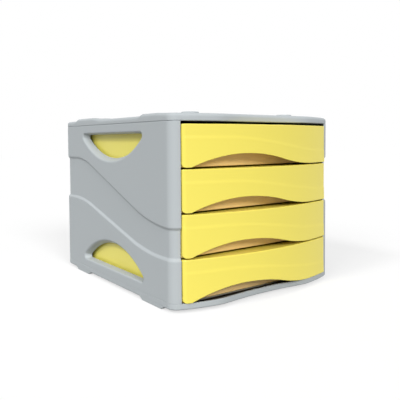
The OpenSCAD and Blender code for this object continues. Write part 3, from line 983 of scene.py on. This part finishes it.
class OBJECT_OT_finishes(bpy.types.Operator):
    """The plastics and the rubber"""

    bl_idname = "drawers.finishes"
    bl_label = "Finishes"

    def execute(self, context):
        colours = context.scene.cabinet_colours
        grey = dict(colour=colours.grey, grain_height=0.000012, grain_size=0.0007, mottle=0.025)
        yellow = dict(colour=colours.yellow, grain_height=0.000006, grain_size=0.0009, mottle=0.02)
        moulded_plastic("housing_grey", roughness=0.42, **grey)
        moulded_plastic("drawer_yellow", roughness=0.34, **yellow)
        # the trays' yellow, with painted shade on their front walls behind the finger pulls
        moulded_plastic("tray_yellow_painted_shade", roughness=0.40, painted_shade_colour=colours.recess_painted_shade, **yellow)
        # the housing's grey, with painted near-black shade in the base's trough and on its step
        moulded_plastic("trough_grey_painted_shade", roughness=0.42, painted_shade_colour=colours.trough, **grey)
        rubber("pad_rubber", colours.pad)
        return {"FINISHED"}


def add_camera():
    """The camera fitted to the photograph's straight edges."""
    place = Vector((-488.57, FRONT_Y - 526.39, 215.18)) * MM
    yaw, pitch, roll = (math.radians(a) for a in (36.66, 2.51, -0.33))
    focal, centre_x, centre_y, width = 517.46, 204.22, 163.21, 400.0
    ahead = Vector((math.sin(yaw) * math.cos(pitch), math.cos(yaw) * math.cos(pitch), -math.sin(pitch)))
    right = Vector((math.cos(yaw), -math.sin(yaw), 0.0))
    up = right.cross(ahead)
    level_right = math.cos(roll) * right + math.sin(roll) * up
    level_up = -math.sin(roll) * right + math.cos(roll) * up
    data = bpy.data.cameras.new("camera")
    data.sensor_width = 36.0
    data.lens = focal / width * data.sensor_width
    data.shift_x = -(centre_x - width / 2) / width
    data.shift_y = (centre_y - width / 2) / width
    data.clip_start, data.clip_end = 0.02, 60.0
    camera = bpy.data.objects.new("camera", data)
    turned = Matrix((level_right, level_up, -ahead)).transposed().to_4x4()
    camera.matrix_world = Matrix.Translation(place) @ turned
    bpy.context.scene.collection.objects.link(camera)
    bpy.context.scene.camera = camera


def add_sun(name, azimuth, elevation, strength, angle):
    """A sun lamp. Azimuth counts from the front to the cabinet's left; strength 1 lights white to white."""
    turn, rise = math.radians(azimuth), math.radians(elevation)
    towards = Vector((-math.sin(turn) * math.cos(rise), -math.cos(turn) * math.cos(rise), math.sin(rise)))
    data = bpy.data.lights.new(name, "SUN")
    data.energy = strength * math.pi
    data.angle = math.radians(angle)
    lamp = bpy.data.objects.new(name, data)
    lamp.rotation_mode = "QUATERNION"
    lamp.rotation_quaternion = towards.to_track_quat("Z", "Y")
    bpy.context.scene.collection.objects.link(lamp)


class OBJECT_OT_stage(bpy.types.Operator):
    """Camera, lamps, pale surroundings and floor"""

    bl_idname = "drawers.stage"
    bl_label = "Stage"

    def execute(self, context):
        scene = context.scene
        scene.view_settings.view_transform = "Standard"
        add_camera()
        for lamp in LAMPS:
            add_sun(*lamp)
        world = bpy.data.worlds.new("pale_surroundings")
        scene.world = world
        world.use_nodes = True
        nodes, links = world.node_tree.nodes, world.node_tree.links
        path = nodes.new("ShaderNodeLightPath")
        seen = nodes.new("ShaderNodeMath")
        seen.operation = "MAXIMUM"
        links.new(path.outputs["Is Camera Ray"], seen.inputs[0])
        links.new(path.outputs["Is Glossy Ray"], seen.inputs[1])
        level = nodes.new("ShaderNodeMapRange")
        level.inputs["To Min"].default_value = SURROUNDINGS
        level.inputs["To Max"].default_value = 1.0
        links.new(seen.outputs[0], level.inputs["Value"])
        links.new(level.outputs["Result"], nodes["Background"].inputs["Strength"])
        nodes["Background"].inputs["Color"].default_value = (1.0, 1.0, 1.0, 1.0)
        floor = Shell()
        far = FLOOR_REACH
        floor.fill(floor.ring([(-far, -far, 0), (far, -far, 0), (far, far, 0), (-far, far, 0)]))
        mesh = bpy.data.meshes.new("floor")
        mesh.from_pydata([Vector(p) * MM for p in floor.points], [], floor.faces)
        mesh.materials.append(stage_floor("floor", scene.cabinet_colours.floor))
        piece = bpy.data.objects.new("floor", mesh)
        scene.collection.objects.link(piece)
        return {"FINISHED"}


class VIEW3D_PT_drawers(bpy.types.Panel):
    """Sizes, colours and builders of the drawer cabinet"""

    bl_label = "Desktop mini drawers"
    bl_space_type = "VIEW_3D"
    bl_region_type = "UI"
    bl_category = "Drawers"

    def draw(self, context):
        for group in (context.scene.cabinet_sizes, context.scene.drawer_sizes, context.scene.cabinet_colours):
            box = self.layout.box()
            for name in group.__annotations__:
                box.prop(group, name)
        for operator in OPERATORS:
            self.layout.operator(operator.bl_idname)


GROUPS = {"cabinet_sizes": CabinetSizes, "drawer_sizes": DrawerSizes, "cabinet_colours": CabinetColours}
OPERATORS = (
    OBJECT_OT_finishes, OBJECT_OT_side_panels, OBJECT_OT_top_cover, OBJECT_OT_base,
    OBJECT_OT_drawers, OBJECT_OT_back_and_pads, OBJECT_OT_stage,
)
CLASSES = (*GROUPS.values(), *OPERATORS, VIEW3D_PT_drawers)


def register():
    for cls in CLASSES:
        bpy.utils.register_class(cls)
    for name, group in GROUPS.items():
        setattr(bpy.types.Scene, name, PointerProperty(type=group))


def unregister():
    for name in GROUPS:
        delattr(bpy.types.Scene, name)
    for cls in reversed(CLASSES):
        bpy.utils.unregister_class(cls)


def main():
    register()
    bpy.ops.drawers.finishes()
    bpy.ops.drawers.side_panels()
    bpy.ops.drawers.top_cover()
    bpy.ops.drawers.base()
    bpy.ops.drawers.drawers()
    bpy.ops.drawers.back_and_pads()
    bpy.ops.drawers.stage()


if __name__ == "__main__":
    main()
